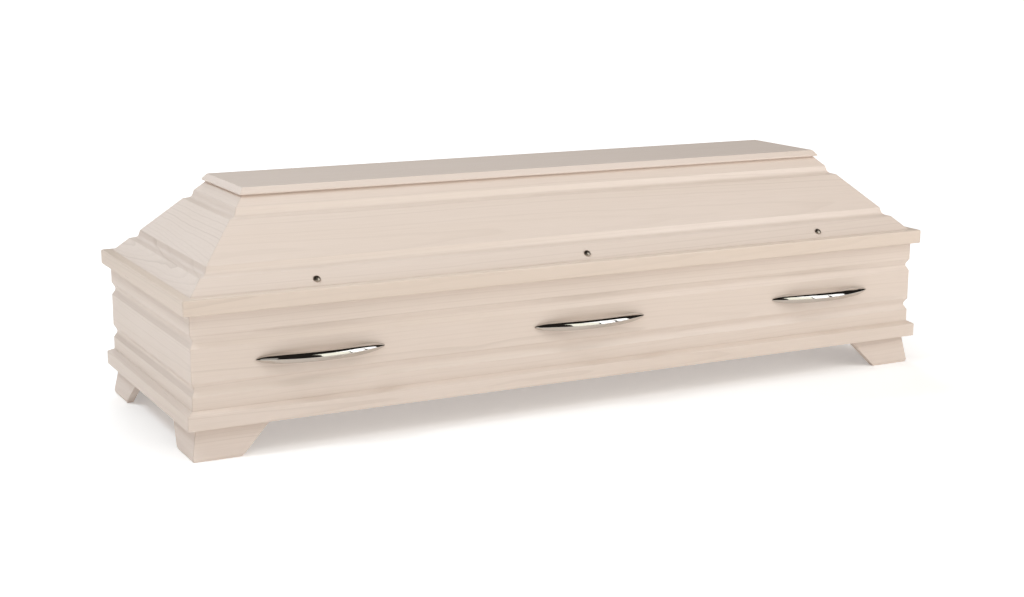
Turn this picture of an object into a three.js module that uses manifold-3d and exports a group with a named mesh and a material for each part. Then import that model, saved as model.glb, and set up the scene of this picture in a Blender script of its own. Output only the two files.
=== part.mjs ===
import * as THREE from "three";
import { mergeVertices } from "three/addons/utils/BufferGeometryUtils.js";
import Module from "manifold-3d";

// A coffin of white-glazed pine boards with chromed handles, closed by a lid that lifts off.
// Millimetres. +X runs along its length, -Y is the front, +Z is up and the floor is z = 0.
// Mouldings are drawn as (inset, height): inset runs inwards from the lid rim's outer face,
// on the long sides and on the ends alike, so every corner is a plain 45 degree mitre.

// The whole
const LENGTH = 2050; // over the lid's rim, the widest part
const WIDTH = 690;
const FOOT_HEIGHT = 75;
const BOX_TOP = 333;
const RIM_TOP = 368.5;
const LID_TOP = 573;
const MITRE_CUT = 0.2; // taken off each board's end along its length

// Base: feet, plinth, walls and floor
const FOOT_TOE_INSET = 13; // outer face on the ground
const FOOT_SPLAY = 13.5; // how far the outer face leans in by its top
const FOOT_THICK = 19;
const FOOT_REACH = 128; // from the rim's end to the inner end on the ground
const FOOT_CHAMFER_IN = 4;
const FOOT_CHAMFER_UP = 7;
const PLINTH_INSET = 3.6;
const PLINTH_EDGE_TOP = 108.5;
const PLINTH_TOP = 116;
const PLINTH_UPPER_RADIUS = 3;
const PLINTH_LOWER_RADIUS = 1.5;
const FRAME_INNER_INSET = 58; // inner edge of the plinth and of the lid's rim
const WALL_INSET = 18.5;
const WALL_THICK = 22;
const FLOOR_THICK = 18;
const FLOOR_PLAY = 0.5; // between the floor's edge and the walls
const WALL_GROOVES = [162.5, 271.3]; // heights of the groove centres

// Milled grooves: a V with a rounded bottom and eased edges
const GROOVE_WIDTH = 31;
const GROOVE_V_DEPTH = 8.8;
const GROOVE_BOTTOM_RADIUS = 12;
const GROOVE_EDGE_RADIUS = 2;

// Lid: rim, sloping boards and top board
const RIM_UPPER_RADIUS = 4;
const RIM_LOWER_RADIUS = 2;
const SLOPE_INSET = 24; // where the 45 degree slope rises from the rim
const SLOPE_THICK = 18;
const SLOPE_GROOVES = [68.5, 175.5]; // insets of the groove centres
const TOP_BOARD_INSET = 202.5;
const TOP_BOARD_THICK = 16;
const TOP_BEVEL_IN = 10.5;
const TOP_BEVEL_START = 3.5; // upright edge below the bevel

// Fittings, three on each long side
const FITTING_SPACING = 703;
const HANDLE_HEIGHT = 217; // of the handle's centre above the floor
const HANDLE_LENGTH = 311;
const HANDLE_BULGE = 41;
const HANDLE_ARCH_LENGTH = 220; // finger gap along the wall
const HANDLE_ARCH_DEPTH = 26;
const HANDLE_TALL = 24;
const HANDLE_TIP = 2.4; // thickness left at the pointed ends
const HANDLE_WALL_GAP = 0.15;
const HANDLE_BOW_POWER = 0.9; // below 1 the bow is fuller towards its ends
const HANDLE_TAPER_START = 6; // the higher, the later the ends taper
const HANDLE_TAPER_POWER = 0.75; // below 1 the ends are blunter
const HANDLE_RIDGE = 0.05; // the outermost edge lies this share of the half height below the middle
const HANDLE_BROW_UP = 0.48; // the front face ends this share of the half height above the middle
const HANDLE_EDGE_CUT = 0.1; // share of each facet taken off at its edges
const SCREW_INSET = 37.5;
const SCREW_HEAD_RADIUS = 9;
const SCREW_HEAD_TALL = 6;
const SCREW_SHANK_RADIUS = 2.5;
const SCREW_SHANK_LENGTH = 10;
const SCREW_HOLE_PLAY = 0.35;
const SCREW_RECESS_RADIUS = 2.2;
const SCREW_RECESS_FLOOR_RADIUS = 1.3;
const SCREW_RECESS_DEPTH = 1.6;

// Finish
const WOOD = { color: 0xe2d3c5, roughness: 0.5, metalness: 0 };
const CHROME = { color: 0xd9dadb, roughness: 0.08, metalness: 1 };
const NICKEL = { color: 0x8f877f, roughness: 0.25, metalness: 1 };

// Facets
const ARC_STEPS = 5; // in each rounded edge
const SCREW_SIDES = 20;
const SCREW_DOME_STEPS = 6;
const HOLE_SIDES = 16;
const HANDLE_STATIONS = 28; // along a handle
const HANDLE_SIDES = 12; // around it, two for each facet
const MERGE_DISTANCE = 1e-4;

const wasm = await Module();
wasm.setup();

const coffin = new THREE.Group();

// Adds a mesh, turned about the upright axis by quarter turns.
function addPiece(name, geometry, finish, quarterTurns = 0) {
  const mesh = new THREE.Mesh(geometry, new THREE.MeshStandardMaterial(finish));
  mesh.name = name;
  mesh.rotation.z = (quarterTurns * Math.PI) / 2;
  coffin.add(mesh);
  return mesh;
}

// A closed outline through corners [inset, height, radius], each rounded by its own radius.
function roundedOutline(corners) {
  const points = corners.flatMap(([inset, height, radius], i) => {
    const corner = new THREE.Vector2(inset, height);
    if (!radius) return [corner];
    const before = new THREE.Vector2(...corners.at(i - 1)).sub(corner).normalize();
    const after = new THREE.Vector2(...corners[(i + 1) % corners.length]).sub(corner).normalize();
    const halfAngle = Math.acos(before.dot(after)) / 2;
    const centre = before.clone().add(after).setLength(radius / Math.sin(halfAngle)).add(corner);
    const start = before.multiplyScalar(radius / Math.tan(halfAngle)).add(corner);
    const sense = Math.sign(start.clone().sub(centre).cross(corner.clone().sub(centre)));
    const turn = (Math.PI - 2 * halfAngle) * sense;
    return Array.from({ length: ARC_STEPS + 1 }, (_, k) =>
      start.clone().rotateAround(centre, (turn * k) / ARC_STEPS),
    );
  });
  return new THREE.Shape(points);
}

// The three corners of a groove whose middle is at `centre` on a face. `along` runs along the face
// in drawing order and `into` points into the board.
function grooveCorners(centre, along, into) {
  const half = GROOVE_WIDTH / 2;
  const at = (along_, into_) => [
    centre[0] + along[0] * along_ + into[0] * into_,
    centre[1] + along[1] * along_ + into[1] * into_,
  ];
  return [
    [...at(-half, 0), GROOVE_EDGE_RADIUS],
    [...at(0, GROOVE_V_DEPTH), GROOVE_BOTTOM_RADIUS],
    [...at(half, 0), GROOVE_EDGE_RADIUS],
  ];
}

// A board of one profile along X, at the front. Its two ends lie where `from` and `to` put each
// point of the profile, so a mitre or a slanting cut is a formula in inset and height.
function board(outline, halfDepth, from, to) {
  const geometry = new THREE.ExtrudeGeometry(outline, { depth: 1, bevelEnabled: false });
  const place = geometry.getAttribute("position");
  for (let i = 0; i < place.count; i++) {
    const inset = place.getX(i);
    const height = place.getY(i);
    const end = place.getZ(i) < 0.5 ? from : to;
    place.setXYZ(i, end(inset, height), inset - halfDepth, height);
  }
  geometry.computeVertexNormals();
  return geometry;
}

// The four sides, counter-clockwise from the front, with half the length of each.
const SIDES = [
  { name: "front", turns: 0, half: LENGTH / 2, halfDepth: WIDTH / 2 },
  { name: "right", turns: 1, half: WIDTH / 2, halfDepth: LENGTH / 2 },
  { name: "back", turns: 2, half: LENGTH / 2, halfDepth: WIDTH / 2 },
  { name: "left", turns: 3, half: WIDTH / 2, halfDepth: LENGTH / 2 },
];

// The board of one side, mitred at both ends.
function mitredBoard(outline, side) {
  const end = (inset) => side.half - inset - MITRE_CUT;
  return board(outline, side.halfDepth, (inset) => -end(inset), end);
}

// A geometry as a solid that can be cut, and back again.
function toSolid(geometry) {
  const bare = geometry.clone();
  bare.deleteAttribute("normal");
  bare.deleteAttribute("uv");
  const merged = mergeVertices(bare, MERGE_DISTANCE);
  return new wasm.Manifold(
    new wasm.Mesh({
      numProp: 3,
      vertProperties: new Float32Array(merged.getAttribute("position").array),
      triVerts: new Uint32Array(merged.index.array),
    }),
  );
}

function toGeometry(solid) {
  const mesh = solid.getMesh();
  const geometry = new THREE.BufferGeometry();
  geometry.setAttribute("position", new THREE.BufferAttribute(mesh.vertProperties, 3));
  geometry.setIndex(new THREE.BufferAttribute(mesh.triVerts, 1));
  const faceted = geometry.toNonIndexed();
  faceted.computeVertexNormals();
  return faceted;
}

// Feet: two mitred boards at each corner, splayed outwards, their inner ends cut at 45 degrees.
function footOutline() {
  const lean = FOOT_SPLAY / FOOT_HEIGHT;
  const top = FOOT_TOE_INSET + FOOT_SPLAY;
  return roundedOutline([
    [FOOT_TOE_INSET + FOOT_CHAMFER_IN, 0],
    [FOOT_TOE_INSET + FOOT_THICK, 0],
    [top + FOOT_THICK, FOOT_HEIGHT],
    [top, FOOT_HEIGHT],
    [FOOT_TOE_INSET + lean * FOOT_CHAMFER_UP, FOOT_CHAMFER_UP],
  ]);
}

// Each side carries the board at its own left end and the one at its own right end, seen from outside.
const FOOT_CORNERS = {
  front: ["front_left", "front_right"],
  right: ["front_right", "back_right"],
  back: ["back_right", "back_left"],
  left: ["back_left", "front_left"],
};

function addFeet(side) {
  const kind = side.half > side.halfDepth ? "side" : "end";
  const outer = (inset) => side.half - inset - MITRE_CUT;
  const inner = (_, height) => side.half - FOOT_REACH - height;
  const [leftCorner, rightCorner] = FOOT_CORNERS[side.name];
  const mirrored = (end) => (inset, height) => -end(inset, height);
  const left = board(footOutline(), side.halfDepth, mirrored(outer), mirrored(inner));
  const right = board(footOutline(), side.halfDepth, inner, outer);
  addPiece(`foot_${leftCorner}_${kind}`, left, WOOD, side.turns);
  addPiece(`foot_${rightCorner}_${kind}`, right, WOOD, side.turns);
}

// Plinth: a frame of mitred strips whose top slopes up to the walls.
function plinthOutline() {
  return roundedOutline([
    [PLINTH_INSET, FOOT_HEIGHT, PLINTH_LOWER_RADIUS],
    [FRAME_INNER_INSET, FOOT_HEIGHT],
    [FRAME_INNER_INSET, PLINTH_TOP],
    [WALL_INSET, PLINTH_TOP],
    [PLINTH_INSET, PLINTH_EDGE_TOP, PLINTH_UPPER_RADIUS],
  ]);
}

// Walls: grooved boards that stand on the plinth.
function wallOutline() {
  const inner = WALL_INSET + WALL_THICK;
  const grooves = [...WALL_GROOVES]
    .reverse()
    .flatMap((height) => grooveCorners([WALL_INSET, height], [0, -1], [1, 0]));
  return roundedOutline([
    [WALL_INSET, PLINTH_TOP],
    [inner, PLINTH_TOP],
    [inner, BOX_TOP],
    [WALL_INSET, BOX_TOP],
    ...grooves,
  ]);
}

function addFloor() {
  const inset = WALL_INSET + WALL_THICK + FLOOR_PLAY;
  const floor = new THREE.BoxGeometry(LENGTH - 2 * inset, WIDTH - 2 * inset, FLOOR_THICK);
  addPiece("base_floor", floor.translate(0, 0, PLINTH_TOP + FLOOR_THICK / 2), WOOD);
}

// Lid rim: a flat frame that rests on the walls and overhangs them.
function rimOutline() {
  return roundedOutline([
    [0, BOX_TOP, RIM_LOWER_RADIUS],
    [FRAME_INNER_INSET, BOX_TOP],
    [FRAME_INNER_INSET, RIM_TOP],
    [0, RIM_TOP, RIM_UPPER_RADIUS],
  ]);
}

// Sloping boards at 45 degrees, standing on the rim and carrying the top board.
const TOP_BOARD_UNDERSIDE = LID_TOP - TOP_BOARD_THICK;
const slopeHeight = (inset) => RIM_TOP + inset - SLOPE_INSET;

function slopeOutline() {
  const rise = TOP_BOARD_UNDERSIDE - RIM_TOP;
  const across = SLOPE_THICK * Math.SQRT2;
  const upperEnd = SLOPE_INSET + rise;
  const downSlope = [-Math.SQRT1_2, -Math.SQRT1_2];
  const intoSlope = [Math.SQRT1_2, -Math.SQRT1_2];
  const grooves = [...SLOPE_GROOVES]
    .reverse()
    .flatMap((inset) => grooveCorners([inset, slopeHeight(inset)], downSlope, intoSlope));
  return roundedOutline([
    [SLOPE_INSET, RIM_TOP],
    [SLOPE_INSET + across, RIM_TOP],
    [upperEnd + across, TOP_BOARD_UNDERSIDE],
    [upperEnd, TOP_BOARD_UNDERSIDE],
    ...grooves,
  ]);
}

// Top board: a flat board with an upright edge and a bevel all round, as a stack of two outlines.
function addTopBoard() {
  const half = [LENGTH / 2 - TOP_BOARD_INSET, WIDTH / 2 - TOP_BOARD_INSET];
  const upright = TOP_BOARD_UNDERSIDE + TOP_BEVEL_START;
  const edge = new THREE.BoxGeometry(2 * half[0], 2 * half[1], TOP_BEVEL_START);
  const bevel = new THREE.BoxGeometry(2 * half[0], 2 * half[1], LID_TOP - upright);
  const corners = bevel.getAttribute("position");
  for (let i = 0; i < corners.count; i++) {
    if (corners.getZ(i) < 0) continue;
    corners.setX(i, corners.getX(i) - Math.sign(corners.getX(i)) * TOP_BEVEL_IN);
    corners.setY(i, corners.getY(i) - Math.sign(corners.getY(i)) * TOP_BEVEL_IN);
  }
  edge.translate(0, 0, (TOP_BOARD_UNDERSIDE + upright) / 2);
  bevel.translate(0, 0, (upright + LID_TOP) / 2);
  addPiece("lid_top_board", toGeometry(toSolid(edge).add(toSolid(bevel))), WOOD);
}

// Lid screw: a domed head with a small recess, on a short shank. Its axis is Z and the head's
// underside is at z = 0.
function screwGeometry() {
  const profile = [
    new THREE.Vector2(0, -SCREW_SHANK_LENGTH),
    new THREE.Vector2(SCREW_SHANK_RADIUS, -SCREW_SHANK_LENGTH),
    new THREE.Vector2(SCREW_SHANK_RADIUS, 0),
  ];
  const recessEdge = Math.acos(SCREW_RECESS_RADIUS / SCREW_HEAD_RADIUS);
  for (let k = 0; k <= SCREW_DOME_STEPS; k++) {
    const angle = (recessEdge * k) / SCREW_DOME_STEPS;
    profile.push(
      new THREE.Vector2(SCREW_HEAD_RADIUS * Math.cos(angle), SCREW_HEAD_TALL * Math.sin(angle)),
    );
  }
  const rimHeight = profile.at(-1).y;
  profile.push(
    new THREE.Vector2(SCREW_RECESS_FLOOR_RADIUS, rimHeight - SCREW_RECESS_DEPTH),
    new THREE.Vector2(0, rimHeight - SCREW_RECESS_DEPTH),
  );
  return new THREE.LatheGeometry(profile, SCREW_SIDES).rotateX(Math.PI / 2);
}

// Where the fittings of a long side sit along it.
const FITTING_PLACES = [-FITTING_SPACING, 0, FITTING_SPACING];

// Sets a piece made along Z square on the slope, where a screw goes.
function onSlope(geometry, x, side) {
  const outwards = SCREW_INSET - side.halfDepth;
  return geometry.rotateX(Math.PI / 4).translate(x, outwards, slopeHeight(SCREW_INSET));
}

// The sloping board of a long side, bored for its screws.
function boredSlope(side) {
  const radius = SCREW_SHANK_RADIUS + SCREW_HOLE_PLAY;
  const depth = SCREW_SHANK_LENGTH + SCREW_HOLE_PLAY;
  let slope = toSolid(mitredBoard(slopeOutline(), side));
  for (const x of FITTING_PLACES) {
    const hole = new THREE.CylinderGeometry(radius, radius, 2 * depth, HOLE_SIDES);
    slope = slope.subtract(toSolid(onSlope(hole.rotateX(Math.PI / 2), x, side)));
  }
  return toGeometry(slope);
}

function addScrews(side) {
  FITTING_PLACES.forEach((x, i) => {
    addPiece(`lid_screw_${side.name}_${i + 1}`, onSlope(screwGeometry(), x, side), NICKEL, side.turns);
  });
}

// Handle: a bow whose outer face is one arc from tip to tip and whose inner face is a flatter arch,
// so its two feet stand on the wall. Its section is a prow of six facets, each given by the way it
// faces, from straight outwards towards straight up.
const [FACES_FRONT, FACES_BROW, FACES_ROOF, FACES_BACK, FACES_BOTTOM, FACES_UNDER] = [
  18, 47, 85, 180, 270, 320,
].map(THREE.MathUtils.degToRad);

// Facets as [facing, distance from the section's middle], in turning order.
function handleFacets(halfDeep, halfTall) {
  const ridge = [halfDeep, -HANDLE_RIDGE * halfTall];
  const browUp = HANDLE_BROW_UP * halfTall;
  const brow = [halfDeep - (browUp - ridge[1]) * Math.tan(FACES_FRONT), browUp];
  const through = (facing, [out, up]) => [facing, out * Math.cos(facing) + up * Math.sin(facing)];
  return [
    through(FACES_FRONT, ridge),
    through(FACES_BROW, brow),
    through(FACES_ROOF, [-halfDeep, halfTall]),
    [FACES_BACK, halfDeep],
    [FACES_BOTTOM, halfTall],
    through(FACES_UNDER, ridge),
  ];
}

// The corners where neighbouring facets meet, each cut off a little.
function handleOutline(halfDeep, halfTall) {
  const facets = handleFacets(halfDeep, halfTall);
  const corners = facets.map(([facing, distance], i) => {
    const [nextFacing, nextDistance] = facets[(i + 1) % facets.length];
    const out = distance * Math.sin(nextFacing) - nextDistance * Math.sin(facing);
    const up = nextDistance * Math.cos(facing) - distance * Math.cos(nextFacing);
    return new THREE.Vector2(out, up).divideScalar(Math.sin(nextFacing - facing));
  });
  return corners.flatMap((corner, i) => [
    corner.clone().lerp(corners.at(i - 1), HANDLE_EDGE_CUT),
    corner.clone().lerp(corners[(i + 1) % corners.length], HANDLE_EDGE_CUT),
  ]);
}

function handleGeometry() {
  const places = [];
  for (let i = 0; i <= HANDLE_STATIONS; i++) {
    const share = Math.sin(((i / HANDLE_STATIONS) * 2 - 1) * (Math.PI / 2));
    const x = (share * HANDLE_LENGTH) / 2;
    const bow = (1 - share ** 2) ** HANDLE_BOW_POWER;
    const taper = (1 - Math.abs(share) ** HANDLE_TAPER_START) ** HANDLE_TAPER_POWER;
    const outer = HANDLE_TIP + (HANDLE_BULGE - HANDLE_TIP) * bow;
    const inner = Math.max(0, HANDLE_ARCH_DEPTH * (1 - (2 * x / HANDLE_ARCH_LENGTH) ** 2));
    const halfTall = (HANDLE_TIP + (HANDLE_TALL - HANDLE_TIP) * taper) / 2;
    for (const point of handleOutline((outer - inner) / 2, halfTall)) {
      places.push(x, -((outer + inner) / 2 + point.x), point.y);
    }
  }
  const faces = [];
  for (let i = 0; i < HANDLE_STATIONS; i++) {
    for (let k = 0; k < HANDLE_SIDES; k++) {
      const a = i * HANDLE_SIDES + k;
      const b = i * HANDLE_SIDES + ((k + 1) % HANDLE_SIDES);
      faces.push(a, a + HANDLE_SIDES, b, b, a + HANDLE_SIDES, b + HANDLE_SIDES);
    }
  }
  for (let k = 1; k < HANDLE_SIDES - 1; k++) {
    const last = HANDLE_STATIONS * HANDLE_SIDES;
    faces.push(0, k, k + 1, last, last + k + 1, last + k);
  }
  const geometry = new THREE.BufferGeometry();
  geometry.setAttribute("position", new THREE.Float32BufferAttribute(places, 3));
  geometry.setIndex(faces);
  geometry.computeVertexNormals();
  return geometry;
}

function addHandles(side) {
  const wall = -(side.halfDepth - WALL_INSET + HANDLE_WALL_GAP);
  FITTING_PLACES.forEach((x, i) => {
    const handle = handleGeometry().translate(x, wall, HANDLE_HEIGHT);
    addPiece(`handle_${side.name}_${i + 1}`, handle, CHROME, side.turns);
  });
}

// Putting it together, from the ground up
addFloor();
for (const side of SIDES) {
  const isLong = side.half > side.halfDepth;
  addFeet(side);
  addPiece(`plinth_${side.name}`, mitredBoard(plinthOutline(), side), WOOD, side.turns);
  const wallName = isLong ? `base_side_${side.name}` : `base_end_${side.name}`;
  addPiece(wallName, mitredBoard(wallOutline(), side), WOOD, side.turns);
  addPiece(`lid_rim_${side.name}`, mitredBoard(rimOutline(), side), WOOD, side.turns);
  const slope = isLong ? boredSlope(side) : mitredBoard(slopeOutline(), side);
  addPiece(`lid_slope_${side.name}`, slope, WOOD, side.turns);
  if (isLong) {
    addScrews(side);
    addHandles(side);
  }
}
addTopBoard();

export default coffin;
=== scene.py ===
import math

import bpy
import numpy as np
from mathutils import Matrix, Vector


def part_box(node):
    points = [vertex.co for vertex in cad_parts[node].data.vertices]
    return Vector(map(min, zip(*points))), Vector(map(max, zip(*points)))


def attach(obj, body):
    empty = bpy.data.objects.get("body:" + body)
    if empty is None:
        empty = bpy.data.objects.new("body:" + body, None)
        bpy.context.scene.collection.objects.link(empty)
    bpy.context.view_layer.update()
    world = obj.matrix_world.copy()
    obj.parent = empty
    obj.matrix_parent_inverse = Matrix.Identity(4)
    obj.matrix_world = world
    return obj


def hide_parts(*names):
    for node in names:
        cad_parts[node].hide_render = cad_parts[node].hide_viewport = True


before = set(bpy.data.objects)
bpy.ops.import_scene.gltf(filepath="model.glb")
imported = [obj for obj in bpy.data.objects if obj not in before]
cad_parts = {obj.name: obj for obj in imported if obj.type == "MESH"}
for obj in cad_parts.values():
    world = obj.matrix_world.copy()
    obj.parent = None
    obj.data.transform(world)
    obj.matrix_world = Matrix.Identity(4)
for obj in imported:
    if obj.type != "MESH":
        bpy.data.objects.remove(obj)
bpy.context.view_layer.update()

# Feet: two short boards of white-glazed pine at each corner, mitred together and glued
# under the plinth. Their outer faces splay outwards towards the ground, and their inner
# ends are sawn off at 45 degrees.

MM = 0.001
rim_low, rim_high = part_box("lid_rim_front")
HALF_LENGTH = rim_high.x  # insets are measured inwards from the lid rim's outer faces
HALF_WIDTH = -rim_low.y
SIDES = {
    "front": (0, HALF_LENGTH, HALF_WIDTH),
    "right": (1, HALF_WIDTH, HALF_LENGTH),
    "back": (2, HALF_LENGTH, HALF_WIDTH),
    "left": (3, HALF_WIDTH, HALF_LENGTH),
}


def rounded_outline(corners, steps=6):
    """Closed outline through corners (inset, height, radius), each turned into an arc.

    At a corner with half angle a between its two sides, the arc's centre lies on the
    bisector at radius / sin(a), and the arc starts and ends radius / tan(a) along the sides.
    """
    corners = np.array(corners, float)
    place = corners[:, :2]
    radius = corners[:, 2:]
    back = np.roll(place, 1, axis=0) - place
    onward = np.roll(place, -1, axis=0) - place
    back = back / np.linalg.norm(back, axis=1, keepdims=True)
    onward = onward / np.linalg.norm(onward, axis=1, keepdims=True)
    half_angle = np.arccos(np.clip((back * onward).sum(1, keepdims=True), -1, 1)) / 2
    bisector = back + onward
    bisector = bisector / np.linalg.norm(bisector, axis=1, keepdims=True)
    centre = place + bisector * radius / np.sin(half_angle)
    start = place + back * radius / np.tan(half_angle) - centre
    sense = np.sign(start[:, :1] * -bisector[:, 1:] + start[:, 1:] * bisector[:, :1])
    turn = sense * (math.pi - 2 * half_angle) * np.linspace(0, 1, steps + 1)
    east = start[:, :1] * np.cos(turn) - start[:, 1:] * np.sin(turn)
    north = start[:, :1] * np.sin(turn) + start[:, 1:] * np.cos(turn)
    arcs = np.stack([centre[:, :1] + east, centre[:, 1:] + north], axis=-1)
    return arcs.reshape(-1, 2)


def swept_faces(stations, around):
    """Quads between closed rings of points, one after another, and a flat face at each end."""
    ring = np.arange(stations - 1)[:, None] * around
    here = np.arange(around)[None, :]
    after = (here + 1) % around
    quads = np.stack([ring + here, ring + after, ring + around + after, ring + around + here], -1)
    last = (stations - 1) * around
    ends = [list(range(around - 1, -1, -1)), list(range(last, last + around))]
    return quads.reshape(-1, 4).tolist() + ends


def quarter_turned(points, turns):
    """Points turned about the upright axis by quarter turns: (x, y) becomes (-y, x) each time."""
    x, y, z = np.moveaxis(points, -1, 0)
    for _ in range(turns):
        x, y = -y, x
    return np.stack([x, y, z], -1)


PITH_BEHIND = 45 * MM  # the pith's distance behind a board's face, on average
PITH_BEHIND_VARIES = 25 * MM
PITH_ASIDE_VARIES = 50 * MM
PITH_LEAN = 0.012  # metres towards the face in each metre of length
LOG_STEP = 1.37  # metres between a board's place along the log and the next board's
BEHIND_TURN = 1.7  # radians of the cosine and of the sine from one board to the next
ASIDE_TURN = 2.4


def log_place(along, across, depth, number, lean=PITH_LEAN):
    """Where each point of a board lay in the log, whose pith is the axis along x.

    Along and across are measured on the board's face, and depth from the face inwards.
    The board's number gives its place along the log, and a cosine and a sine of the number
    its distance from the pith; the pith leans towards the face along the board's length.
    """
    from_pith = PITH_BEHIND + PITH_BEHIND_VARIES * math.cos(BEHIND_TURN * number)
    aside = PITH_ASIDE_VARIES * math.sin(ASIDE_TURN * number)
    return np.stack([along + LOG_STEP * number, across + aside, depth + from_pith + lean * along], -1)


def add_wood(name, points, faces, grain, node, tone_and_painted_light, boldness=1.0):
    """Adds a pine piece in place of its solid, with the place of each point in its log, how warm and
    deep the wood's tone is (0 to 1) and how boldly its growth rings show through. The tone is set board
    by board and is partly painted light and shade: the rim strips are made darker and warmer because
    they catch more light than the walls beneath them, and the feet paler because they sit in the
    plinth's shade."""
    mesh = bpy.data.meshes.new(name)
    mesh.from_pydata(points.reshape(-1, 3).tolist(), [], faces)
    mesh.attributes.new("grain", "FLOAT_VECTOR", "POINT")
    mesh.attributes["grain"].data.foreach_set("vector", grain.reshape(-1).astype(np.float32))
    board = np.broadcast_to([tone_and_painted_light, boldness, 0.0], points.shape)
    mesh.attributes.new("board", "FLOAT_VECTOR", "POINT")
    mesh.attributes["board"].data.foreach_set("vector", board.reshape(-1).astype(np.float32))
    mesh.shade_smooth()
    mesh.set_sharp_from_angle(angle=math.radians(32))
    mesh.materials.append(white_glazed_pine)
    piece = bpy.data.objects.new(name, mesh)
    bpy.context.scene.collection.objects.link(piece)
    weighted = piece.modifiers.new("even_faces", "WEIGHTED_NORMAL")
    weighted.keep_sharp = True
    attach(piece, "root")
    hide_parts(node)
    return piece


WANDER_ACROSS = 40 * MM  # how far the pith wanders sideways and in depth
WANDER_DEPTH = 34 * MM
RING_RIPPLE = 4 * MM
LATEWOOD_STARTS = 0.55  # shares of a ring's width
LATEWOOD_ENDS = 0.93
LEAST_LATEWOOD = 0.10  # in a poor year


def pine_figure_group():
    """Growth rings, fibres and slow changes of tone at a place in a log, given in metres.

    A ring is where the distance from the pith, which wanders, passes a whole number of ring
    widths. Latewood is the last part of each ring, and some years have more than others.
    """
    group = bpy.data.node_groups.new("pine_figure", "ShaderNodeTree")
    group.interface.new_socket("Place", in_out="INPUT", socket_type="NodeSocketVector")
    group.interface.new_socket("Ring Width", in_out="INPUT", socket_type="NodeSocketFloat")
    for name in ("Latewood", "Fibre", "Tone"):
        group.interface.new_socket(name, in_out="OUTPUT", socket_type="NodeSocketFloat")
    nodes, links = group.nodes, group.links
    given = nodes.new("NodeGroupInput")
    result = nodes.new("NodeGroupOutput")

    def math_node(operation, first, second=None):
        node = nodes.new("ShaderNodeMath")
        node.operation = operation
        for socket, value in zip(node.inputs, (first, second)):
            if isinstance(value, (int, float)):
                socket.default_value = value
            elif value is not None:
                links.new(value, socket)
        return node.outputs[0]

    def streaked_noise(stretch, detail, roughness=0.5):
        mapping = nodes.new("ShaderNodeMapping")
        mapping.inputs["Scale"].default_value = stretch
        links.new(given.outputs["Place"], mapping.inputs["Vector"])
        noise = nodes.new("ShaderNodeTexNoise")
        noise.inputs["Scale"].default_value = 1.0
        noise.inputs["Detail"].default_value = detail
        noise.inputs["Roughness"].default_value = roughness
        links.new(mapping.outputs[0], noise.inputs["Vector"])
        return noise

    split = nodes.new("ShaderNodeSeparateXYZ")
    links.new(given.outputs["Place"], split.inputs[0])
    wander = streaked_noise(stretch=(0.8, 4.5, 4.5), detail=1.0)
    wander_split = nodes.new("ShaderNodeSeparateXYZ")
    links.new(wander.outputs["Color"], wander_split.inputs[0])
    sideways = math_node("SUBTRACT", wander_split.outputs[0], 0.5)
    inwards = math_node("SUBTRACT", wander_split.outputs[1], 0.5)
    across = math_node("ADD", split.outputs[1], math_node("MULTIPLY", sideways, WANDER_ACROSS))
    depth = math_node("ADD", split.outputs[2], math_node("MULTIPLY", inwards, WANDER_DEPTH))
    squares = math_node("ADD", math_node("POWER", math_node("ABSOLUTE", across), 2.0),
                        math_node("POWER", math_node("ABSOLUTE", depth), 2.0))
    radius = math_node("SQRT", squares)
    ripple = streaked_noise(stretch=(6.0, 45.0, 45.0), detail=1.0)
    rippled = math_node("ADD", radius, math_node("MULTIPLY", ripple.outputs["Fac"], RING_RIPPLE))
    rings = math_node("DIVIDE", rippled, given.outputs["Ring Width"])
    late = nodes.new("ShaderNodeMapRange")
    late.interpolation_type = "SMOOTHSTEP"
    late.inputs["From Min"].default_value = LATEWOOD_STARTS
    late.inputs["From Max"].default_value = LATEWOOD_ENDS
    links.new(math_node("FRACT", rings), late.inputs["Value"])
    early = nodes.new("ShaderNodeMapRange")
    early.interpolation_type = "SMOOTHSTEP"
    early.inputs["From Min"].default_value = LATEWOOD_ENDS
    early.inputs["From Max"].default_value = 1.0
    early.inputs["To Min"].default_value = 1.0
    early.inputs["To Max"].default_value = 0.0
    links.new(math_node("FRACT", rings), early.inputs["Value"])
    year = nodes.new("ShaderNodeTexWhiteNoise")
    year.noise_dimensions = "1D"
    links.new(math_node("FLOOR", rings), year.inputs["W"])
    good_year = math_node("POWER", year.outputs["Value"], 3.0)
    strength = math_node("MULTIPLY_ADD", good_year, 1 - LEAST_LATEWOOD)
    strength.node.inputs[2].default_value = LEAST_LATEWOOD
    latewood = math_node("MULTIPLY", math_node("MULTIPLY", late.outputs[0], early.outputs[0]), strength)
    links.new(latewood, result.inputs["Latewood"])
    fibre = streaked_noise(stretch=(7.0, 420.0, 420.0), detail=2.0, roughness=0.6)
    links.new(fibre.outputs["Fac"], result.inputs["Fibre"])
    tone = streaked_noise(stretch=(0.9, 9.0, 9.0), detail=2.0)
    links.new(tone.outputs["Fac"], result.inputs["Tone"])
    return group


pine_figure = pine_figure_group()
RING_WIDTH = 7.5 * MM
PALE_PINE = (0.800, 0.692, 0.624)
WARM_PINE = (0.750, 0.628, 0.532)
LATEWOOD_BROWN = (0.52, 0.42, 0.35)
FIBRE_BROWN = (0.66, 0.55, 0.46)
GLAZE_SHEEN = 0.7
GRAIN_RELIEF = 0.6 * MM
GRAIN_STRENGTH = 0.16
RING_RELIEF = 0.5  # how far the rings stand out, as a share of the fibres


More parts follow.
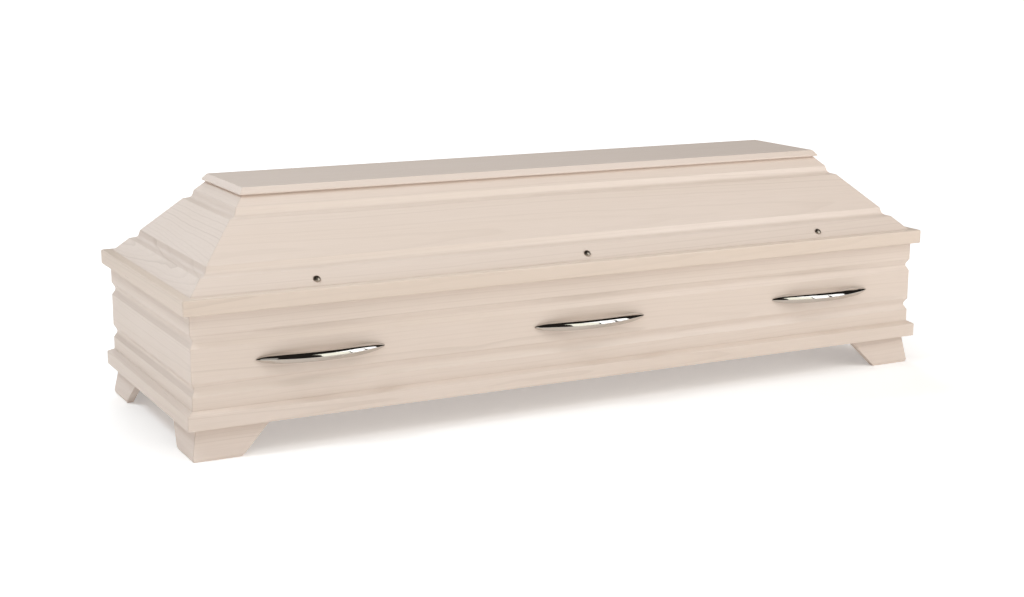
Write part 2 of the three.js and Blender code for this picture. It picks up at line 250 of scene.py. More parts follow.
def glazed_pine():
    """White glaze over pine: pale earlywood, slightly darker latewood, a satin surface."""
    material = bpy.data.materials.new("white_glazed_pine")
    material.use_nodes = True
    nodes, links = material.node_tree.nodes, material.node_tree.links
    shader = nodes["Principled BSDF"]
    place = nodes.new("ShaderNodeAttribute")
    place.attribute_name = "grain"
    figure = nodes.new("ShaderNodeGroup")
    figure.node_tree = pine_figure
    figure.inputs["Ring Width"].default_value = RING_WIDTH
    links.new(place.outputs["Vector"], figure.inputs["Place"])
    board = nodes.new("ShaderNodeAttribute")
    board.attribute_name = "board"
    board_split = nodes.new("ShaderNodeSeparateXYZ")
    links.new(board.outputs["Vector"], board_split.inputs[0])
    tone_and_painted_light, boldness = board_split.outputs[0], board_split.outputs[1]
    rings = nodes.new("ShaderNodeMath")
    rings.operation = "MULTIPLY"
    links.new(figure.outputs["Latewood"], rings.inputs[0])
    links.new(boldness, rings.inputs[1])

    def mixed(first, second, amount):
        node = nodes.new("ShaderNodeMix")
        node.data_type = "RGBA"
        for socket, value in ((node.inputs["A"], first), (node.inputs["B"], second)):
            if isinstance(value, tuple):
                socket.default_value = (*value, 1.0)
            else:
                links.new(value, socket)
        links.new(amount, node.inputs["Factor"])
        return node.outputs["Result"]

    def scaled(value, factor, base=0.0):
        node = nodes.new("ShaderNodeMath")
        node.operation = "MULTIPLY_ADD"
        links.new(value, node.inputs[0])
        node.inputs[1].default_value = factor
        node.inputs[2].default_value = base
        return node.outputs[0]

    # Each board's tone mixes pale and warm pine. It is partly painted shade and painted light, darker
    # on the rim strips and paler on the feet than the light alone makes them.
    shade = nodes.new("ShaderNodeMath")
    shade.operation = "ADD"
    shade.use_clamp = True
    links.new(tone_and_painted_light, shade.inputs[0])
    links.new(scaled(figure.outputs["Tone"], factor=0.7, base=-0.35), shade.inputs[1])
    toned = mixed(PALE_PINE, WARM_PINE, shade.outputs[0])
    ringed = mixed(toned, LATEWOOD_BROWN, scaled(rings.outputs[0], factor=0.30))
    streaked = mixed(ringed, FIBRE_BROWN, scaled(figure.outputs["Fibre"], factor=0.50, base=-0.18))
    links.new(streaked, shader.inputs["Base Color"])
    links.new(scaled(figure.outputs["Fibre"], factor=0.14, base=0.24), shader.inputs["Roughness"])
    shader.inputs["Specular IOR Level"].default_value = GLAZE_SHEEN
    height = nodes.new("ShaderNodeMath")
    height.operation = "MULTIPLY_ADD"
    links.new(rings.outputs[0], height.inputs[0])
    height.inputs[1].default_value = RING_RELIEF
    links.new(figure.outputs["Fibre"], height.inputs[2])
    bump = nodes.new("ShaderNodeBump")
    bump.inputs["Strength"].default_value = GRAIN_STRENGTH
    bump.inputs["Distance"].default_value = GRAIN_RELIEF
    links.new(height.outputs[0], bump.inputs["Height"])
    links.new(bump.outputs["Normal"], shader.inputs["Normal"])
    return material


white_glazed_pine = glazed_pine()
MITRE_CUT = 0.2 * MM  # each board stops this far from the mitre, which leaves a fine joint
GLUED_EDGE = 0.4 * MM
PLANED_EDGE = 1.0 * MM
FOOT_TOE_INSET = 13 * MM
FOOT_SPLAY = 13.5 * MM
FOOT_THICK = 19 * MM
FOOT_REACH = 128 * MM
FOOT_TOE_IN = 4 * MM  # the toe is planed off from this far in on the sole
FOOT_TOE_UP = 7 * MM  # to this far up the face
FOOT_TOE_ROUND = 5 * MM
FOOT_SOLE_EDGE = 1.2 * MM
foot_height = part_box("foot_front_left_side")[1].z
foot_top_inset = FOOT_TOE_INSET + FOOT_SPLAY
foot_outline = rounded_outline([
    (FOOT_TOE_INSET + FOOT_TOE_IN, 0, FOOT_SOLE_EDGE),
    (FOOT_TOE_INSET + FOOT_THICK, 0, PLANED_EDGE),
    (foot_top_inset + FOOT_THICK, foot_height, GLUED_EDGE),
    (foot_top_inset, foot_height, GLUED_EDGE),
    (FOOT_TOE_INSET + FOOT_SPLAY * FOOT_TOE_UP / foot_height, FOOT_TOE_UP, FOOT_TOE_ROUND),
])
foot_middle = FOOT_TOE_INSET + FOOT_SPLAY * foot_outline[:, 1] / foot_height + FOOT_THICK / 2
foot_outer = foot_outline[:, 0] < foot_middle


def eased_mitre(outline, outer, half_length, ease, steps=5):
    """Rings of points from just before a mitred corner up to the mitre, as (along, inset).

    In plan the outside of the corner is an arc of radius ease, of which each board has half:
    along grows by ease sin(t) and inset by ease (1 - cos(t)), with t from 0 to 45 degrees.
    Points inside the board run straight on to the mitre.
    """
    t = np.linspace(0, math.pi / 4, steps + 1)[:, None]
    straight = half_length - MITRE_CUT - outline[:, 0] - ease
    along = straight + ease * np.where(outer, np.sin(t), t / (math.pi / 4))
    inset = outline[:, 0] + ease * np.where(outer, 1 - np.cos(t), 0)
    return along, inset


FOOT_EASE = 2.5 * MM
FOOT_PARTS = 8  # rings of points between the sawn end and the mitre


def foot_board(half_length, half_depth, hand):
    """A foot board at the end hand (-1 left, 1 right) of a side: its outline in even steps
    from the sawn end, which leans in by as much as it rises, and then the eased mitre."""
    along, inset = eased_mitre(foot_outline, foot_outer, half_length, FOOT_EASE)
    sawn = half_length - FOOT_REACH - foot_outline[:, 1]
    share = np.linspace(0, 1, FOOT_PARTS + 1)[:-1, None]
    along = np.concatenate([sawn + (along[0] - sawn) * share, along])
    plain = np.broadcast_to(foot_outline[:, 0], (FOOT_PARTS, len(foot_outline)))
    inset = np.concatenate([plain, inset])
    height = np.broadcast_to(foot_outline[:, 1], along.shape)
    points = np.stack([hand * along, inset - half_depth, height], -1)
    return points[::hand]


FOOT_CORNERS = {
    "front": ("front_left", "front_right"),
    "right": ("front_right", "back_right"),
    "back": ("back_right", "back_left"),
    "left": ("back_left", "front_left"),
}
board_number = 0
for side, (turns, half_length, half_depth) in SIDES.items():
    kind = "side" if half_length > half_depth else "end"
    for hand, corner in zip((-1, 1), FOOT_CORNERS[side]):
        board_number += 1
        points = foot_board(half_length, half_depth, hand)
        grain = log_place(points[..., 0], points[..., 2] - foot_height / 2,
                          points[..., 1] + half_depth - FOOT_TOE_INSET, board_number)
        name = f"foot_{corner}_{kind}"
        # The feet get the palest tone, which is partly painted light in the shade under the plinth.
        foot = add_wood(f"{name}_board", quarter_turned(points, turns),
                        swept_faces(*points.shape[:2]), grain, name, tone_and_painted_light=0.0)
        sawn_edge = foot.modifiers.new("sawn_edge", "BEVEL")
        sawn_edge.width = 0.8 * MM
        sawn_edge.segments = 2
        sawn_edge.angle_limit = math.radians(38)
        foot.modifiers.move(1, 0)

# Plinth: a frame of four planed pine strips, mitred and glued, on which the box stands.
# The strips stand out a little from the walls, and their top slopes up to them.

PLINTH_INSET = 3.6 * MM
FRAME_INNER_INSET = 58 * MM
WALL_INSET = 18.5 * MM
PLINTH_EDGE_TOP = 108.5 * MM
PLINTH_LOWER_ROUND = 1.5 * MM
PLINTH_UPPER_ROUND = 3.0 * MM
PLINTH_WALL_EDGE = 0.5 * MM
plinth_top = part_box("plinth_front")[1].z
plinth_outline = rounded_outline([
    (PLINTH_INSET, foot_height, PLINTH_LOWER_ROUND),
    (FRAME_INNER_INSET, foot_height, PLANED_EDGE),
    (FRAME_INNER_INSET, plinth_top, PLANED_EDGE),
    (WALL_INSET, plinth_top, PLINTH_WALL_EDGE),
    (PLINTH_INSET, PLINTH_EDGE_TOP, PLINTH_UPPER_ROUND),
])


def mitred_board(outline, outer, half_length, half_depth, ease, pieces=12):
    """A board of one profile: its outline in even steps along the straight part, and an eased
    mitre at each end."""
    along, inset = eased_mitre(outline, outer, half_length, ease)
    middle = along[0] * np.linspace(-1, 1, pieces + 1)[1:-1, None]
    plain = np.broadcast_to(outline[:, 0], middle.shape)
    along = np.concatenate([-along[::-1], middle, along])
    inset = np.concatenate([inset[::-1], plain, inset])
    height = np.broadcast_to(outline[:, 1], along.shape)
    return np.stack([along, inset - half_depth, height], -1)


PLINTH_EASE = 2.0 * MM
for side, (turns, half_length, half_depth) in SIDES.items():
    board_number += 1
    outer = plinth_outline[:, 0] < (WALL_INSET + FRAME_INNER_INSET) / 2
    points = mitred_board(plinth_outline, outer, half_length, half_depth, PLINTH_EASE)
    grain = log_place(points[..., 0], points[..., 2] - PLINTH_EDGE_TOP,
                      points[..., 1] + half_depth - PLINTH_INSET, board_number)
    add_wood(f"plinth_{side}_strip", quarter_turned(points, turns),
             swept_faces(*points.shape[:2]), grain, f"plinth_{side}", tone_and_painted_light=0.3)

# Floor of the box: one wide pine board, planed and glazed as the rest, and laid on the
# plinth inside the walls.

floor_low, floor_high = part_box("base_floor")
BOARD_CORNER = 1.5 * MM  # in plan


def edge_profile(corners, closing_depth=40 * MM, steps=6):
    """The rounded corners of a board's edge, without the two that close the outline inside it."""
    below, above = corners[0][1], corners[-1][1]
    closed = [(closing_depth, below, GLUED_EDGE), *corners, (closing_depth, above, GLUED_EDGE)]
    return rounded_outline(closed, steps)[steps + 1:-(steps + 1)]


def framed_board(outline, half_length, half_depth, corner, steps=5):
    """A flat board with one edge profile all round: the profile's insets shrink a rectangle
    whose corners are arcs of the given radius. Its top and underside are the end faces."""
    t = np.linspace(0, math.pi / 2, steps + 1)
    quarter = np.concatenate([t + turn * math.pi / 2 for turn in range(4)])
    east = np.repeat([1, -1, -1, 1], steps + 1)
    north = np.repeat([1, 1, -1, -1], steps + 1)
    inset = outline[:, :1]
    x = east * (half_length - corner - inset) + corner * np.cos(quarter)
    y = north * (half_depth - corner - inset) + corner * np.sin(quarter)
    z = np.broadcast_to(outline[:, 1:], x.shape)
    return np.stack([x, y, z], -1)


floor_profile = edge_profile([(0, floor_low.z, PLANED_EDGE), (0, floor_high.z, PLANED_EDGE)])
points = framed_board(floor_profile, floor_high.x, floor_high.y, BOARD_CORNER)
board_number += 1
grain = log_place(points[..., 0], points[..., 1], points[..., 2] - floor_low.z, board_number)
add_wood("box_floor_board", points, swept_faces(*points.shape[:2]), grain, "base_floor", tone_and_painted_light=0.5)

# Walls of the box: two long boards and two short ones, mitred at the corners. A cutter has
# milled two shallow grooves with rounded bottoms along each, right round the box.

WALL_THICK = 22 * MM
WALL_GROOVES = (162.5 * MM, 271.3 * MM)
GROOVE_WIDTH = 31 * MM
GROOVE_V_DEPTH = 8.8 * MM
GROOVE_BOTTOM = 12 * MM
GROOVE_EDGE = 2 * MM
box_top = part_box("base_side_front")[1].z


def groove_corners(centre, along, into):
    """Two edges and the rounded bottom of a V groove, as outline corners in drawing order."""
    centre, along, into = np.array(centre), np.array(along), np.array(into)
    first = centre - along * GROOVE_WIDTH / 2
    bottom = centre + into * GROOVE_V_DEPTH
    last = centre + along * GROOVE_WIDTH / 2
    return [(*first, GROOVE_EDGE), (*bottom, GROOVE_BOTTOM), (*last, GROOVE_EDGE)]


wall_outline = rounded_outline([
    (WALL_INSET, plinth_top, GLUED_EDGE),
    (WALL_INSET + WALL_THICK, plinth_top, GLUED_EDGE),
    (WALL_INSET + WALL_THICK, box_top, PLANED_EDGE),
    (WALL_INSET, box_top, PLANED_EDGE),
    *groove_corners((WALL_INSET, WALL_GROOVES[1]), (0, -1), (1, 0)),
    *groove_corners((WALL_INSET, WALL_GROOVES[0]), (0, -1), (1, 0)),
], steps=8)
WALL_EASE = 2.0 * MM
for side, (turns, half_length, half_depth) in SIDES.items():
    board_number += 1
    outer = wall_outline[:, 0] < WALL_INSET + WALL_THICK / 2
    points = mitred_board(wall_outline, outer, half_length, half_depth, WALL_EASE)
    grain = log_place(points[..., 0], points[..., 2] - sum(WALL_GROOVES) / 2,
                      points[..., 1] + half_depth - WALL_INSET, board_number)
    kind = "side" if half_length > half_depth else "end"
    add_wood(f"wall_{side}_board", quarter_turned(points, turns),
             swept_faces(*points.shape[:2]), grain, f"base_{kind}_{side}", tone_and_painted_light=0.3)

# Handles: chromed die-cast bows with pointed ends, three on each long side, fixed to the wall
# at both ends. The outer face is one arc, and the arch behind it leaves finger room.

handle_low, handle_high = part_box("handle_front_2")
HANDLE_LENGTH = handle_high.x - handle_low.x
HANDLE_ARCH_LENGTH = 220 * MM
HANDLE_ARCH_DEPTH = 26 * MM
HANDLE_BULGE = handle_high.y - handle_low.y
HANDLE_TALL = 24 * MM
HANDLE_TIP = 2.4 * MM
HANDLE_RIDGE = 0.05  # the outer edge lies below the middle by this share of the half height
HANDLE_BROW_UP = 0.48  # the front face ends above the middle by this share of the half height
HANDLE_LEAN = math.radians(18)  # how far up the front facet faces
HANDLE_BROW = math.radians(47)  # the facet above it
HANDLE_ROOF = math.radians(85)  # the top
HANDLE_UNDER = math.radians(-40)  # the underside, which faces down
HANDLE_CRISPNESS = 18  # how sharp the edges between the facets are
HANDLE_NOSE = 300  # how short the rounding of the very tips is
HANDLE_NOSE_LEAST = 0.004
GLOSS_VARIES = 0.4
LONG_SIDES = {"front": 0, "back": 2}


def polished_metal(name, colour, roughness):
    """A polished metal whose gloss is a little uneven, as plating over a casting is."""
    material = bpy.data.materials.new(name)
    material.use_nodes = True
    nodes, links = material.node_tree.nodes, material.node_tree.links
    shader = nodes["Principled BSDF"]
    shader.inputs["Base Color"].default_value = (*colour, 1.0)
    shader.inputs["Metallic"].default_value = 1.0
    place = nodes.new("ShaderNodeTexCoord")
    noise = nodes.new("ShaderNodeTexNoise")
    noise.inputs["Scale"].default_value = 55.0
    noise.inputs["Detail"].default_value = 3.0
    links.new(place.outputs["Object"], noise.inputs["Vector"])
    gloss = nodes.new("ShaderNodeMapRange")
    gloss.inputs["To Min"].default_value = roughness * (1 - GLOSS_VARIES)
    gloss.inputs["To Max"].default_value = roughness * (1 + GLOSS_VARIES)
    links.new(noise.outputs["Fac"], gloss.inputs["Value"])
    links.new(gloss.outputs[0], shader.inputs["Roughness"])
    return material


def handle_surface(stations=121, around=84):
    """Sections along a bow: share runs from -1 to 1 along its length.

    The outer edge lies at bulge (1 - share^2)^0.9 from the wall, and the inner face at the
    parabola of the arch; the height goes as (1 - share^6)^0.75. Each section is a polygon of
    six facets with rounded corners: in a direction d from its middle it reaches
    (sum of (n.d / distance)^q)^(-1/q), over the facets whose normal n faces d.
    """
    share = np.sin(np.linspace(-math.pi / 2, math.pi / 2, stations))[:, None]
    angle = np.linspace(0, 2 * math.pi, around, endpoint=False)[None, :]
    x = share * HANDLE_LENGTH / 2
    outer = HANDLE_TIP + (HANDLE_BULGE - HANDLE_TIP) * (1 - share ** 2) ** 0.9
    inner = np.maximum(0, HANDLE_ARCH_DEPTH * (1 - (2 * x / HANDLE_ARCH_LENGTH) ** 2))
    half_tall = (HANDLE_TIP + (HANDLE_TALL - HANDLE_TIP) * (1 - share ** 6) ** 0.75) / 2
    half_deep = (outer - inner) / 2
    ridge = -HANDLE_RIDGE * half_tall
    lean, brow, roof, under = HANDLE_LEAN, HANDLE_BROW, HANDLE_ROOF, HANDLE_UNDER
    brow_up = HANDLE_BROW_UP * half_tall
    brow_out = half_deep - (brow_up - ridge) * math.tan(lean)
    facets = (
        (lean, half_deep * math.cos(lean) + ridge * math.sin(lean)),
        (brow, brow_out * math.cos(brow) + brow_up * math.sin(brow)),
        (roof, half_tall * math.sin(roof) - half_deep * math.cos(roof)),
        (under, half_deep * math.cos(under) + ridge * math.sin(under)),
        (-math.pi / 2, half_tall),
        (math.pi, half_deep),
    )
    pull = sum(np.maximum(0, np.cos(angle - facing) / distance) ** HANDLE_CRISPNESS
               for facing, distance in facets)
    nose = np.sqrt(np.clip(1 - np.abs(share) ** HANDLE_NOSE, HANDLE_NOSE_LEAST, 1))
    reach = nose * pull ** (-1 / HANDLE_CRISPNESS)
    out = inner + half_deep + reach * np.cos(angle)
    return np.stack([np.broadcast_to(x, out.shape), -out, reach * np.sin(angle)], -1)


def add_metal(name, points, faces, material, node):
    """Adds a smooth metal piece in place of its solid."""
    mesh = bpy.data.meshes.new(name)
    mesh.from_pydata(points.reshape(-1, 3).tolist(), [], faces)
    mesh.shade_smooth()
    mesh.set_sharp_from_angle(angle=math.radians(40))
    mesh.materials.append(material)
    piece = bpy.data.objects.new(name, mesh)
    bpy.context.scene.collection.objects.link(piece)
    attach(piece, "root")
    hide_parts(node)


chrome = polished_metal("chromed_handle", colour=(0.68, 0.66, 0.635), roughness=0.05)
handle_shape = handle_surface()
for side, turns in LONG_SIDES.items():
    for number in (1, 2, 3):
        node = f"handle_{side}_{number}"
        low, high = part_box(node)
        wall = max(abs(low.y), abs(high.y)) - HANDLE_BULGE
        at = quarter_turned(np.array([(low.x + high.x) / 2, 0, (low.z + high.z) / 2]), turns)
        points = quarter_turned(handle_shape + np.array([at[0], -wall, at[2]]), turns)
        add_metal(f"{node}_bow", points, swept_faces(*points.shape[:2]), chrome, node)

# Lid rim: a flat frame of four pine strips, mitred and glued, that lies loose on the walls
# and overhangs them. Its outer edges are rounded over.

RIM_LOWER_ROUND = 2 * MM
RIM_UPPER_ROUND = 4 * MM
rim_bottom, rim_top = rim_low.z, rim_high.z
rim_outline = rounded_outline([
    (0, rim_bottom, RIM_LOWER_ROUND),
    (FRAME_INNER_INSET, rim_bottom, PLANED_EDGE),
    (FRAME_INNER_INSET, rim_top, PLANED_EDGE),
    (0, rim_top, RIM_UPPER_ROUND),
])
RIM_EASE = 4.0 * MM
for side, (turns, half_length, half_depth) in SIDES.items():
    board_number += 1
    outer = rim_outline[:, 0] < FRAME_INNER_INSET / 2
    points = mitred_board(rim_outline, outer, half_length, half_depth, RIM_EASE)
    grain = log_place(points[..., 0], points[..., 2] - rim_bottom,
                      points[..., 1] + half_depth, board_number)
    # The rim strips get the darkest, warmest tone, which is partly painted shade on strips that catch
    # more light than the walls.
    add_wood(f"lid_rim_{side}_strip", quarter_turned(points, turns),
             swept_faces(*points.shape[:2]), grain, f"lid_rim_{side}", tone_and_painted_light=0.9)

# Sloping lid boards: four wide pine boards at 45 degrees, mitred along the hips, glued to
# the rim below and the top board above. The same cutter has milled two grooves along them.

SLOPE_INSET = 24 * MM
SLOPE_THICK = 18 * MM
SLOPE_FOOT_EDGE = 0.3 * MM
SLOPE_GROOVES = (68.5 * MM, 175.5 * MM)
slope_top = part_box("lid_slope_front")[1].z
slope_across = SLOPE_THICK * math.sqrt(2)
slope_top_inset = SLOPE_INSET + slope_top - rim_top
DIAGONAL = math.sqrt(0.5)  # the sine and the cosine of 45 degrees
down_slope = (-DIAGONAL, -DIAGONAL)
into_slope = (DIAGONAL, -DIAGONAL)


def slope_height(inset):
    """Height of the slope's face: it rises from the rim as fast as it goes in."""
    return rim_top + inset - SLOPE_INSET


slope_outline = rounded_outline([
    (SLOPE_INSET, rim_top, SLOPE_FOOT_EDGE),
    (SLOPE_INSET + slope_across, rim_top, GLUED_EDGE),
    (slope_top_inset + slope_across, slope_top, GLUED_EDGE),
    (slope_top_inset, slope_top, GLUED_EDGE),
    *groove_corners((SLOPE_GROOVES[1], slope_height(SLOPE_GROOVES[1])), down_slope, into_slope),
    *groove_corners((SLOPE_GROOVES[0], slope_height(SLOPE_GROOVES[0])), down_slope, into_slope),
], steps=8)
SLOPE_EASE = 2.5 * MM
SLOPE_PITH = {"front": 0.13, "right": 0.10, "back": 0.15, "left": 0.03}  # metres up the slope
WILD_SIDE = "left"  # this board was sawn near the pith of a crooked log
WILD_CURL = 3  # its figure is so many times shorter along the grain
WILD_LEAN = 0.02
WILD_BOLDNESS = 1.8
for side, (turns, half_length, half_depth) in SIDES.items():
    board_number += 1
    depth_in = (slope_outline[:, 0] - SLOPE_INSET - slope_outline[:, 1] + rim_top) * DIAGONAL
    outer = depth_in < SLOPE_THICK / 2
    points = mitred_board(slope_outline, outer, half_length, half_depth, SLOPE_EASE)
    inset = points[..., 1] + half_depth - SLOPE_INSET
    rise = points[..., 2] - rim_top
    up_slope = (inset + rise) * DIAGONAL - SLOPE_PITH[side]
    wild = side == WILD_SIDE
    grain = log_place(points[..., 0] * (WILD_CURL if wild else 1), up_slope, (inset - rise) * DIAGONAL,
                      board_number, lean=WILD_LEAN if wild else PITH_LEAN)
    add_wood(f"lid_slope_{side}_board", quarter_turned(points, turns), swept_faces(*points.shape[:2]),
             grain, f"lid_slope_{side}", tone_and_painted_light=0.2, boldness=WILD_BOLDNESS if wild else 1.0)

# Top board of the lid: a flat pine board glued on the sloping boards, which it overhangs.
# It has a low upright edge and a planed bevel all round.

top_low, top_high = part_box("lid_top_board")
TOP_EDGE = 3.5 * MM
TOP_BEVEL_IN = 10.5 * MM
TOP_UNDER_ROUND = 0.8 * MM
TOP_EDGE_ROUND = 1.2 * MM
TOP_BEVEL_ROUND = 1.5 * MM
top_profile = edge_profile([
    (0, top_low.z, TOP_UNDER_ROUND),
    (0, top_low.z + TOP_EDGE, TOP_EDGE_ROUND),
    (TOP_BEVEL_IN, top_high.z, TOP_BEVEL_ROUND),
])
points = framed_board(top_profile, top_high.x, top_high.y, BOARD_CORNER)
board_number += 1
grain = log_place(points[..., 0], points[..., 1], top_high.z - points[..., 2], board_number)
add_wood("lid_top_bevelled_board", points, swept_faces(*points.shape[:2]), grain, "lid_top_board",
         tone_and_painted_light=0.15, boldness=0.7)

# Lid screws: domed nickel heads with a small recess, three along each long side, driven
# square into the sloping boards just above the rim.

SCREW_INSET = 37.5 * MM
SCREW_HEAD_RADIUS = 9 * MM
SCREW_HEAD_TALL = 6 * MM
SCREW_SHANK_RADIUS = 2.5 * MM
SCREW_SHANK_LENGTH = 10 * MM
SCREW_RECESS_RADIUS = 2.2 * MM
SCREW_RECESS_DEPTH = 1.6 * MM
SCREW_RECESS_WALL = ((0.92, 0.3), (0.6, 1.0))  # shares of the recess's radius and of its depth
SCREW_POLE = 0.1 * MM  # the flat faces that close the surface have this radius


def screw_surface(sides=48, dome_steps=20):
    """A profile of radius and height turned about the screw's axis: a shank, a quarter
    ellipse for the dome, and a small flat-bottomed recess in its middle."""
    dome = np.linspace(0, math.acos(SCREW_RECESS_RADIUS / SCREW_HEAD_RADIUS), dome_steps)
    recess_top = SCREW_HEAD_TALL * math.sin(dome[-1])
    recess_radius, recess_depth = np.transpose(SCREW_RECESS_WALL)
    radius = np.concatenate([
        [SCREW_POLE, SCREW_SHANK_RADIUS, SCREW_SHANK_RADIUS],
        SCREW_HEAD_RADIUS * np.cos(dome),
        SCREW_RECESS_RADIUS * recess_radius,
        [SCREW_POLE],
    ])[:, None]
    height = np.concatenate([
        [-SCREW_SHANK_LENGTH, -SCREW_SHANK_LENGTH, 0],
        SCREW_HEAD_TALL * np.sin(dome),
        recess_top - SCREW_RECESS_DEPTH * recess_depth,
        [recess_top - SCREW_RECESS_DEPTH],
    ])[:, None]
    turn = np.linspace(0, 2 * math.pi, sides, endpoint=False)
    east, north = radius * np.cos(turn), radius * np.sin(turn)
    return np.stack([east, north, np.broadcast_to(height, east.shape)], -1)


nickel = polished_metal("nickel_screw", colour=(0.46, 0.41, 0.36), roughness=0.36)
screw_shape = screw_surface()
tilted = np.stack([
    screw_shape[..., 0],
    (screw_shape[..., 1] - screw_shape[..., 2]) * DIAGONAL,
    (screw_shape[..., 1] + screw_shape[..., 2]) * DIAGONAL,
], -1)
for side, turns in LONG_SIDES.items():
    for number in (1, 2, 3):
        node = f"lid_screw_{side}_{number}"
        low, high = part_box(node)
        along = quarter_turned(np.array([(low.x + high.x) / 2, 0, 0]), turns)[0]
        seat = np.array([along, SCREW_INSET - HALF_WIDTH, slope_height(SCREW_INSET)])
        points = quarter_turned(tilted + seat, turns)
        add_metal(f"{node}_head", points, swept_faces(*points.shape[:2]), nickel, node)

# Studio: a wide pale floor with a faint glow, a tall window of three panes to the right of
# the camera, soft panels on the left and behind, and the camera. The chrome also mirrors a
# second window across the room and a pale wall beside the camera.

scene = bpy.context.scene
FLOOR_HALF = 60.0
FLOOR_PALE = (0.93, 0.93, 0.93, 1.0)
FLOOR_MIRRORED = (0.90, 0.83, 0.77, 1.0)  # in reflections
GLOW_NEAR = 1.2  # metres from the middle between which the floor's glow grows
GLOW_FAR = 7.0
GLOW_LEAST = 0.13
GLOW_MOST = 0.84
GLOW_SEEN = 0.16  # added where the camera sees the floor itself
GLOW_MIRRORED = 0.2  # share of the glow that is left in reflections
floor_mesh = bpy.data.meshes.new("studio_floor")
floor_mesh.from_pydata(
    [(-FLOOR_HALF, -FLOOR_HALF, 0), (FLOOR_HALF, -FLOOR_HALF, 0),
     (FLOOR_HALF, FLOOR_HALF, 0), (-FLOOR_HALF, FLOOR_HALF, 0)], [], [(0, 1, 2, 3)])
pale_floor = bpy.data.materials.new("pale_floor")
pale_floor.use_nodes = True
floor_nodes, floor_links = pale_floor.node_tree.nodes, pale_floor.node_tree.links
floor_shader = floor_nodes["Principled BSDF"]
floor_shader.inputs["Roughness"].default_value = 0.8
floor_shader.inputs["Specular IOR Level"].default_value = 0.1
floor_shader.inputs["Emission Color"].default_value = (1.0, 1.0, 1.0, 1.0)
floor_place = floor_nodes.new("ShaderNodeTexCoord")
floor_far = floor_nodes.new("ShaderNodeVectorMath")
floor_far.operation = "LENGTH"
floor_links.new(floor_place.outputs["Object"], floor_far.inputs[0])
floor_glow = floor_nodes.new("ShaderNodeMapRange")
floor_glow.interpolation_type = "SMOOTHSTEP"
floor_glow.inputs["From Min"].default_value = GLOW_NEAR
floor_glow.inputs["From Max"].default_value = GLOW_FAR
floor_glow.inputs["To Min"].default_value = GLOW_LEAST
floor_glow.inputs["To Max"].default_value = GLOW_MOST
floor_links.new(floor_far.outputs["Value"], floor_glow.inputs["Value"])
floor_ray = floor_nodes.new("ShaderNodeLightPath")
floor_seen = floor_nodes.new("ShaderNodeMath")
floor_seen.operation = "MULTIPLY_ADD"
floor_seen.inputs[1].default_value = GLOW_SEEN
floor_links.new(floor_ray.outputs["Is Camera Ray"], floor_seen.inputs[0])
floor_links.new(floor_glow.outputs[0], floor_seen.inputs[2])
floor_dim = floor_nodes.new("ShaderNodeMapRange")
floor_dim.inputs["To Min"].default_value = 1.0
floor_dim.inputs["To Max"].default_value = GLOW_MIRRORED
floor_links.new(floor_ray.outputs["Is Glossy Ray"], floor_dim.inputs["Value"])
floor_light = floor_nodes.new("ShaderNodeMath")
floor_light.operation = "MULTIPLY"
floor_links.new(floor_seen.outputs[0], floor_light.inputs[0])
floor_links.new(floor_dim.outputs[0], floor_light.inputs[1])
floor_links.new(floor_light.outputs[0], floor_shader.inputs["Emission Strength"])
floor_colour = floor_nodes.new("ShaderNodeMix")
floor_colour.data_type = "RGBA"
floor_colour.inputs["A"].default_value = FLOOR_PALE
floor_colour.inputs["B"].default_value = FLOOR_MIRRORED
floor_links.new(floor_ray.outputs["Is Glossy Ray"], floor_colour.inputs["Factor"])
floor_links.new(floor_colour.outputs["Result"], floor_shader.inputs["Base Color"])
floor_mesh.materials.append(pale_floor)
studio_floor = bpy.data.objects.new("studio_floor", floor_mesh)
scene.collection.objects.link(studio_floor)


def add_panel(name, place, aim, size, power, colour):
    """A soft rectangular light that faces a point and that the camera itself doesn't see."""
    light = bpy.data.lights.new(name, "AREA")
    light.shape = "RECTANGLE"
    light.size, light.size_y = size
    light.energy = power
    light.color = colour
    panel = bpy.data.objects.new(name, light)
    panel.location = place
    panel.rotation_euler = (Vector(aim) - Vector(place)).to_track_quat("-Z", "Y").to_euler()
    panel.visible_camera = False
    scene.collection.objects.link(panel)
    return panel


MIDDLE = (0.0, 0.0, 0.3)
WINDOW = Vector((1.94, -3.155, 2.9))
WINDOW_FACING = Vector((-0.6, 0.8, 0.0))
WINDOW_ALONG = Vector((0.8, 0.6, 0.0))
PANE_TALL = 4.8
panes = {  # offset along the window, width, power and colour
    "garden": (-0.97, 1.70, 34.5, (1.0, 1.0, 0.88)),
    "sky_left": (0.40, 0.85, 30.5, (0.98, 0.99, 1.0)),
    "sky_right": (1.41, 0.82, 24.5, (0.98, 0.99, 1.0)),
}
for name, (offset, width, power, colour) in panes.items():
    place = WINDOW + offset * WINDOW_ALONG
    add_panel(f"window_{name}", place, place + WINDOW_FACING, (width, PANE_TALL), power, colour)
soft_panels = {  # place, size, power and colour of lights that reflections don't show
    "left_front": ((-0.96, -2.39, 3.81), (2.4, 1.8), 34.0, (0.96, 0.98, 1.0)),
    "left_end_high": ((-2.8, -0.5, 3.3), (1.0, 1.0), 55.0, (0.85, 0.94, 1.0)),
    "left_end_low": ((-3.5, -0.8, 0.3), (2.0, 0.5), 3.2, (0.88, 0.95, 1.0)),
    "behind": ((0.7, 3.0, 3.4), (3.2, 2.0), 104.0, (0.84, 0.93, 1.0)),
}
for name, (place, size, power, colour) in soft_panels.items():
    panel = add_panel(name, place, MIDDLE, size, power, colour)
    panel.visible_glossy = False
far_place = Vector((-1.94, 3.155, 2.4))
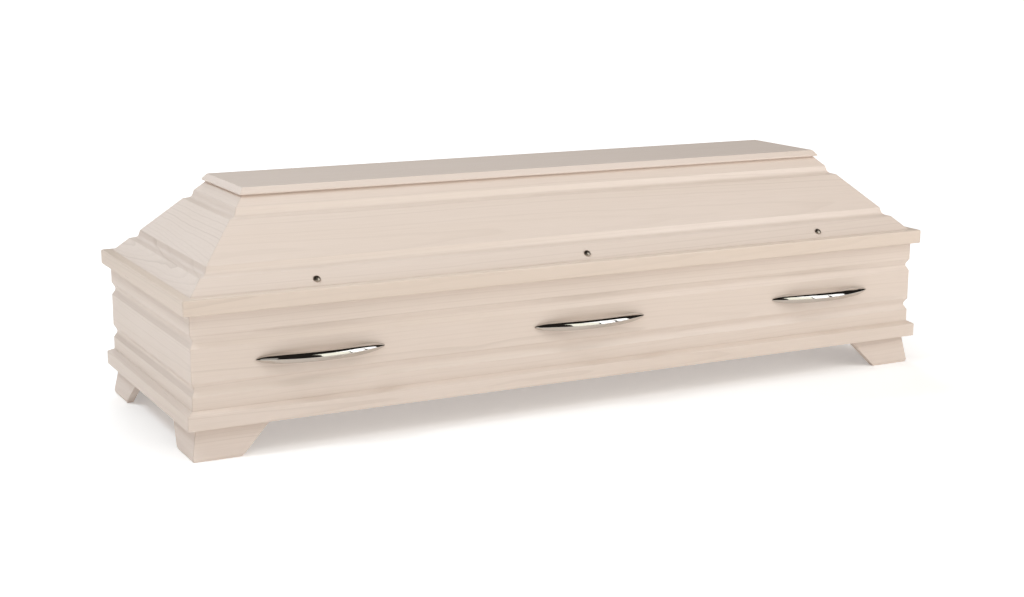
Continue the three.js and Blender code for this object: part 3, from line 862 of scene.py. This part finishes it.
mirrored_panels = {  # place, aim, size, power and colour of panels that only reflections show
    "far_window": (far_place, far_place - WINDOW_FACING, (2.6, 3.8), 20.0, (0.98, 0.99, 1.0)),
    "pale_wall": ((-2.8, -4.2, 1.5), MIDDLE, (1.4, 2.6), 5.4, (1.0, 0.97, 0.91)),
}
for name, (place, aim, size, power, colour) in mirrored_panels.items():
    panel = add_panel(name, place, aim, size, power, colour)
    panel.visible_diffuse = False

ROOM_TINT = (1.0, 0.87, 0.76, 1.0)
ROOM_LIGHT = 0.28
ROOM_MIRRORED = 0.02  # the room's strength in reflections
BACKDROP_PALE = (0.88, 0.88, 0.88, 1.0)
world = bpy.data.worlds.new("studio")
world.use_nodes = True
world_nodes, world_links = world.node_tree.nodes, world.node_tree.links
surroundings = world_nodes["Background"]
surroundings.inputs["Color"].default_value = ROOM_TINT
ray = world_nodes.new("ShaderNodeLightPath")
dim = world_nodes.new("ShaderNodeMapRange")
dim.inputs["To Min"].default_value = ROOM_LIGHT
dim.inputs["To Max"].default_value = ROOM_MIRRORED
world_links.new(ray.outputs["Is Glossy Ray"], dim.inputs["Value"])
world_links.new(dim.outputs[0], surroundings.inputs["Strength"])
backdrop = world_nodes.new("ShaderNodeBackground")
backdrop.inputs["Color"].default_value = BACKDROP_PALE
seen = world_nodes.new("ShaderNodeMixShader")
world_links.new(ray.outputs["Is Camera Ray"], seen.inputs["Fac"])
world_links.new(surroundings.outputs[0], seen.inputs[1])
world_links.new(backdrop.outputs[0], seen.inputs[2])
world_links.new(seen.outputs[0], world_nodes["World Output"].inputs["Surface"])
scene.world = world
scene.view_settings.view_transform = "Standard"

CAMERA_PLACE = (-2.0282, -3.7425, 1.1276)
CAMERA_AZIMUTH = math.radians(-27.933)
CAMERA_ELEVATION = math.radians(12.162)
CAMERA_ROLL = math.radians(0.31)
FOCAL_PIXELS = 1661.75
IMAGE_WIDTH = 1024
SENSOR = 36.0  # millimetres

camera_data = bpy.data.cameras.new("camera")
camera_data.sensor_width = SENSOR
camera_data.lens = FOCAL_PIXELS * SENSOR / IMAGE_WIDTH
camera = bpy.data.objects.new("camera", camera_data)
towards_camera = Vector((math.sin(CAMERA_AZIMUTH) * math.cos(CAMERA_ELEVATION),
                         -math.cos(CAMERA_AZIMUTH) * math.cos(CAMERA_ELEVATION),
                         math.sin(CAMERA_ELEVATION)))
rightwards = Vector((math.cos(CAMERA_AZIMUTH), math.sin(CAMERA_AZIMUTH), 0))
upwards = towards_camera.cross(rightwards)
level = Matrix((rightwards, upwards, towards_camera)).transposed()
camera.matrix_world = Matrix.Translation(CAMERA_PLACE) @ (
    level @ Matrix.Rotation(CAMERA_ROLL, 3, "Z")).to_4x4()
scene.collection.objects.link(camera)
scene.camera = camera
